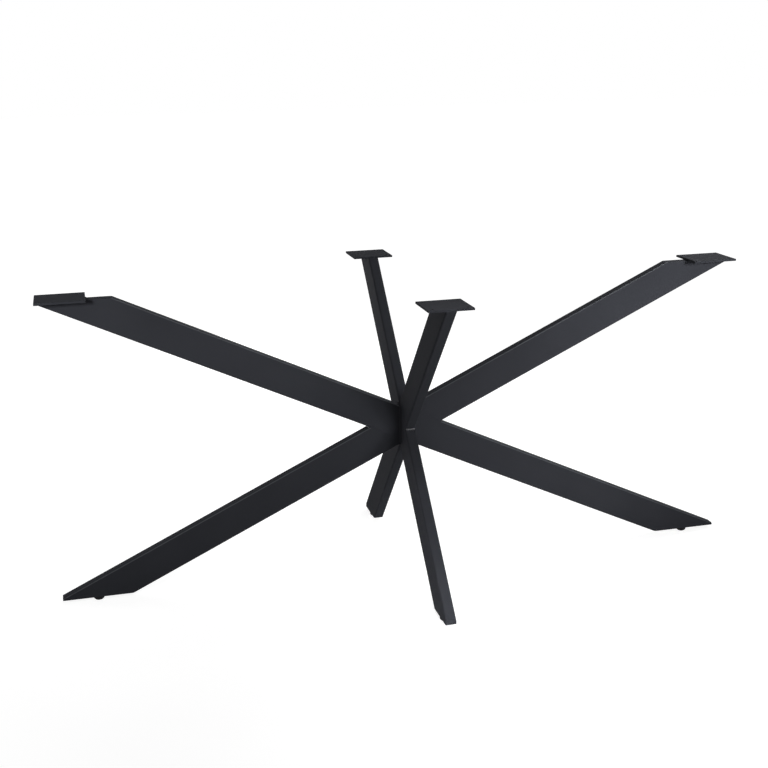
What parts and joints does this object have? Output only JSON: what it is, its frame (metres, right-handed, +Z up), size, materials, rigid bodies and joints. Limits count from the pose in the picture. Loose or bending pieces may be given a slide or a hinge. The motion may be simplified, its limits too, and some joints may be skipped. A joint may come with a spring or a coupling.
{
  "type": "table base",
  "caption": "Free-standing table base of crossed X frames in black rectangular steel tube, with flat screw plates on the upper ends and levelling feet under the lower ends.",
  "frame": {"origin": "floor level, below the crossing of the frames", "axes": "+X along the long frame, +Y along the short frame, +Z up"},
  "size_m": [1.664, 0.776, 0.72],
  "materials": {
    "powder_coat": "satin black powder coat with a fine texture",
    "zinc_steel": "zinc plated",
    "black_plastic": "moulded, slightly matt"
  },
  "bodies": {
    "frame": {"long_through_tube": "powder_coat", "long_upper_arm": "powder_coat", "long_lower_arm": "powder_coat", "short_front_upper_arm": "powder_coat", "short_front_lower_arm": "powder_coat", "short_back_upper_arm": "powder_coat", "short_back_lower_arm": "powder_coat", "top_plate_left": "powder_coat", "top_plate_right": "powder_coat", "top_plate_front": "powder_coat", "top_plate_back": "powder_coat", "upper_end_strip_left": "powder_coat", "upper_end_strip_right": "powder_coat", "upper_end_strip_front": "powder_coat", "upper_end_strip_back": "powder_coat", "lower_end_strip_left": "powder_coat", "lower_end_strip_right": "powder_coat", "lower_end_strip_front": "powder_coat", "lower_end_strip_back": "powder_coat", "foot_nut_left": "zinc_steel", "foot_nut_right": "zinc_steel", "foot_nut_front": "zinc_steel", "foot_nut_back": "zinc_steel"},
    "foot_left": {"foot_stud_left": "zinc_steel", "foot_pad_left": "black_plastic"},
    "foot_right": {"foot_stud_right": "zinc_steel", "foot_pad_right": "black_plastic"},
    "foot_front": {"foot_stud_front": "zinc_steel", "foot_pad_front": "black_plastic"},
    "foot_back": {"foot_stud_back": "zinc_steel", "foot_pad_back": "black_plastic"}
  },
  "joints": [
    {"name": "foot_left_level", "type": "slide", "parent": "frame", "child": "foot_left", "axis": [0, 0, -1], "range_m": [0, 0.012]},
    {"name": "foot_right_level", "type": "slide", "parent": "frame", "child": "foot_right", "axis": [0, 0, -1], "range_m": [0, 0.012]},
    {"name": "foot_front_level", "type": "slide", "parent": "frame", "child": "foot_front", "axis": [0, 0, -1], "range_m": [0, 0.012]},
    {"name": "foot_back_level", "type": "slide", "parent": "frame", "child": "foot_back", "axis": [0, 0, -1], "range_m": [0, 0.012]}
  ]
}
